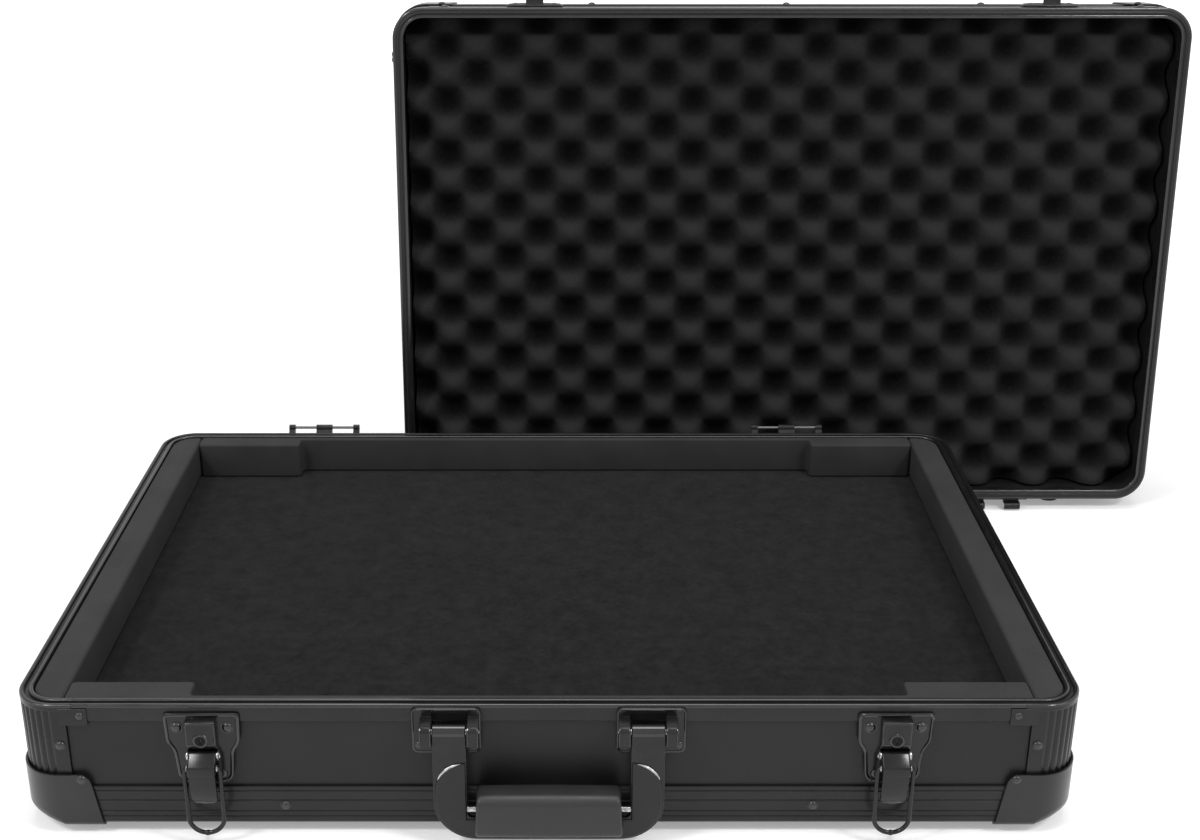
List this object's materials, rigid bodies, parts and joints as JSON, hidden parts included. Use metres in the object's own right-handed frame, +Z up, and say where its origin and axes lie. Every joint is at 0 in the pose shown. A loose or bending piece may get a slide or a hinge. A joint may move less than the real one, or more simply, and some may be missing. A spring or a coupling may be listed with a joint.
{
  "type": "dj controller flight case",
  "caption": "Low foam-lined flight case with a lift-off hinged lid, key-lock draw latches, ball corners and a folding carrying handle.",
  "frame": {"origin": "centre of the bottom panel's underside, between the rubber feet", "axes": "+Z up out of the open base, -Y towards the front with the handle and latches, +X to the right seen from the front"},
  "size_m": [0.8331, 0.5769, 0.4341],
  "materials": {
    "aluminium": "black anodised",
    "zinc": "black painted steel",
    "laminate": "plywood with a black textured laminate",
    "foam": "soft foam",
    "rubber": "matte",
    "grip": "soft-touch",
    "brass": "black nickel-plated brass"
  },
  "bodies": {
    "base": {"base_bottom_panel": "laminate", "base_front_panel": "laminate", "base_right_panel": "laminate", "base_rear_panel": "laminate", "base_left_panel": "laminate", "base_rim_front": "aluminium", "base_rim_right": "aluminium", "base_rim_rear": "aluminium", "base_rim_left": "aluminium", "base_corner_post_front_left": "aluminium", "base_corner_post_front_right": "aluminium", "base_corner_post_rear_right": "aluminium", "base_corner_post_rear_left": "aluminium", "base_edge_rail_front": "aluminium", "base_edge_rail_right": "aluminium", "base_edge_rail_rear": "aluminium", "base_edge_rail_left": "aluminium", "base_corner_cap_front_left": "zinc", "base_corner_cap_front_right": "zinc", "base_corner_cap_rear_right": "zinc", "base_corner_cap_rear_left": "zinc", "base_foot_front_left": "rubber", "base_foot_front_right": "rubber", "base_foot_rear_right": "rubber", "base_foot_rear_left": "rubber", "base_rear_foot_left": "rubber", "base_rear_foot_right": "rubber", "floor_foam": "foam", "side_bolster_left": "foam", "side_bolster_right": "foam", "front_foam_blocks": "foam", "rear_foam_blocks": "foam", "latch_plate_left": "zinc", "latch_plate_right": "zinc", "handle_bracket_left": "zinc", "handle_bracket_right": "zinc", "base_hinge_leaf_left": "zinc", "base_hinge_leaf_right": "zinc"},
    "hinge_pins": {"hinge_pin_left": "zinc", "hinge_pin_right": "zinc"},
    "lid": {"lid_top_board": "laminate", "lid_side_boards": "laminate", "lid_rim_frame": "aluminium", "lid_edge_frame": "aluminium", "lid_foam": "foam", "lid_catch_left": "zinc", "lid_catch_right": "zinc", "lid_hinge_hooks_left": "zinc", "lid_hinge_hooks_right": "zinc", "lid_foot_left": "rubber", "lid_foot_right": "rubber"},
    "latch_lever_left": {"latch_lever_left": "zinc"},
    "latch_lever_right": {"latch_lever_right": "zinc"},
    "latch_bail_left": {"latch_bail_left": "zinc"},
    "latch_bail_right": {"latch_bail_right": "zinc"},
    "lock_left": {"lock_cylinder_left": "brass"},
    "lock_right": {"lock_cylinder_right": "brass"},
    "handle": {"handle_frame": "zinc", "handle_grip": "grip"}
  },
  "joints": [
    {"name": "lid_hinge", "type": "hinge", "parent": "base", "child": "hinge_pins", "pos_m": [0, 0.2143, 0.0842], "axis": [1, 0, 0], "range_deg": [0, 95]},
    {"name": "lid_lift_off", "type": "slide", "parent": "hinge_pins", "child": "lid", "axis": [-0.8904, -0.1781, 0.4189], "range_m": [0, 0.21339]},
    {"name": "latch_left", "type": "hinge", "parent": "base", "child": "latch_lever_left", "pos_m": [-0.206, -0.213, 0.0507], "axis": [1, 0, 0], "range_deg": [-75, 0]},
    {"name": "latch_right", "type": "hinge", "parent": "base", "child": "latch_lever_right", "pos_m": [0.206, -0.213, 0.0507], "axis": [1, 0, 0], "range_deg": [-75, 0]},
    {"name": "bail_left", "type": "hinge", "parent": "latch_lever_left", "child": "latch_bail_left", "pos_m": [-0.206, -0.2185, 0.0452], "axis": [-1, 0, 0], "range_deg": [0, 184.9]},
    {"name": "bail_right", "type": "hinge", "parent": "latch_lever_right", "child": "latch_bail_right", "pos_m": [0.206, -0.2185, 0.0452], "axis": [-1, 0, 0], "range_deg": [0, 184.9]},
    {"name": "key_left", "type": "hinge", "parent": "base", "child": "lock_left", "pos_m": [-0.206, -0.2166, 0.0627], "axis": [0, -1, 0], "range_deg": [0, 90]},
    {"name": "key_right", "type": "hinge", "parent": "base", "child": "lock_right", "pos_m": [0.206, -0.2166, 0.0627], "axis": [0, -1, 0], "range_deg": [0, 90]},
    {"name": "handle_swing", "type": "hinge", "parent": "base", "child": "handle", "pos_m": [0, -0.217, 0.0697], "axis": [-1, 0, 0], "range_deg": [0, 95]}
  ]
}
